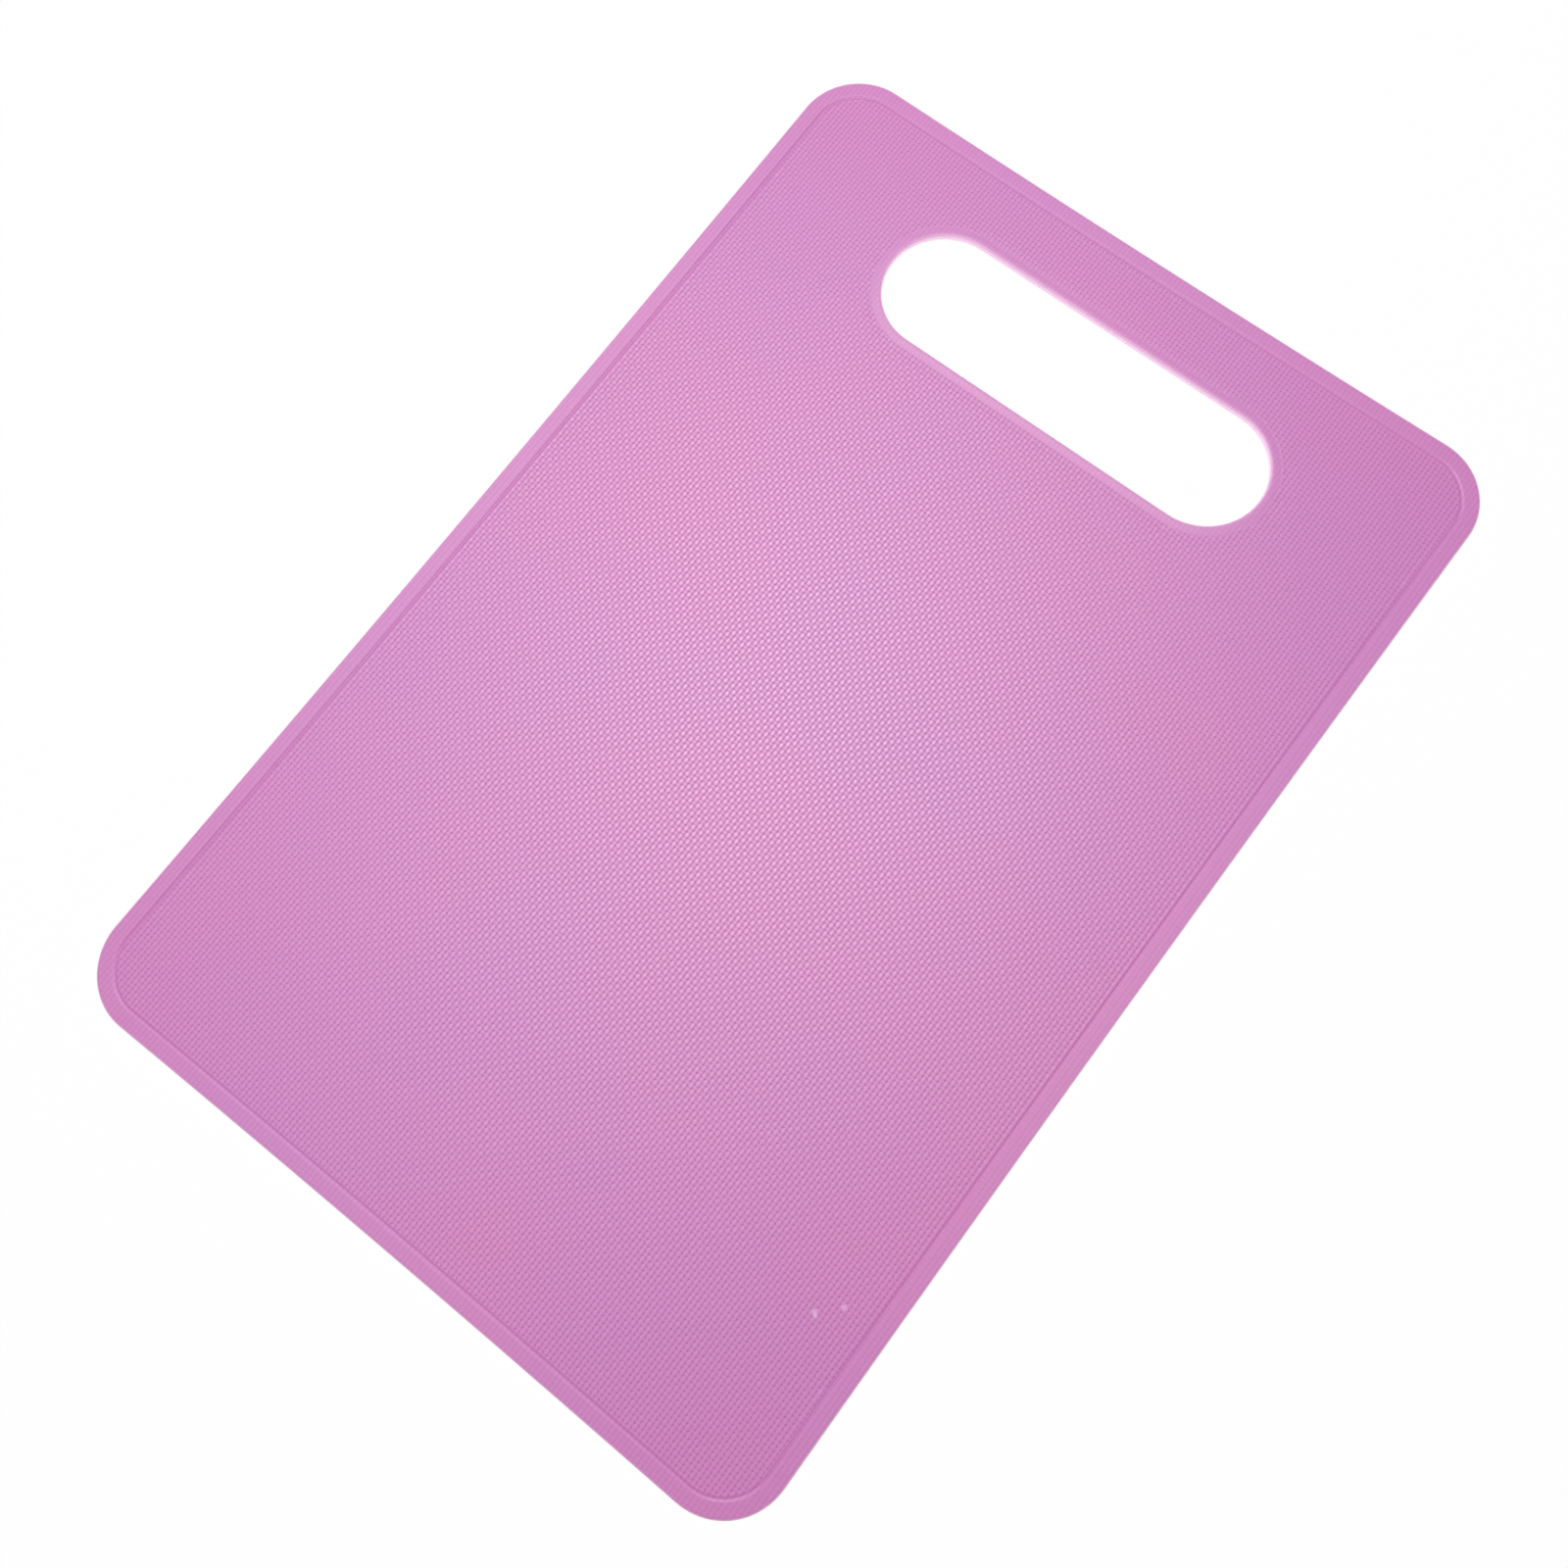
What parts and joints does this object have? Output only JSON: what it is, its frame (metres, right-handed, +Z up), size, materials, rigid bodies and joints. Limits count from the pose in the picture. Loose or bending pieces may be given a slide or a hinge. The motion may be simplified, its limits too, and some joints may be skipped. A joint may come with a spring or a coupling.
{
  "type": "flexible cutting mat",
  "caption": "Thin flexible cutting mat with rounded corners, a smooth rim with a fine groove inside it, a recessed woven-look face and an oblong hand slot near one short end.",
  "frame": {"origin": "centre of the mat's outline, on the surface that it rests on", "axes": "+Y along the length towards the end with the hand slot, +X across the width, +Z up through the cutting face"},
  "size_m": [0.1976, 0.2996, 0.002],
  "materials": {
    "mat_plastic": "translucent pink-violet moulded polypropylene, satin, with a finely embossed woven-look face"
  },
  "bodies": {
    "root": {"cutting_mat": "mat_plastic"}
  },
  "joints": []
}
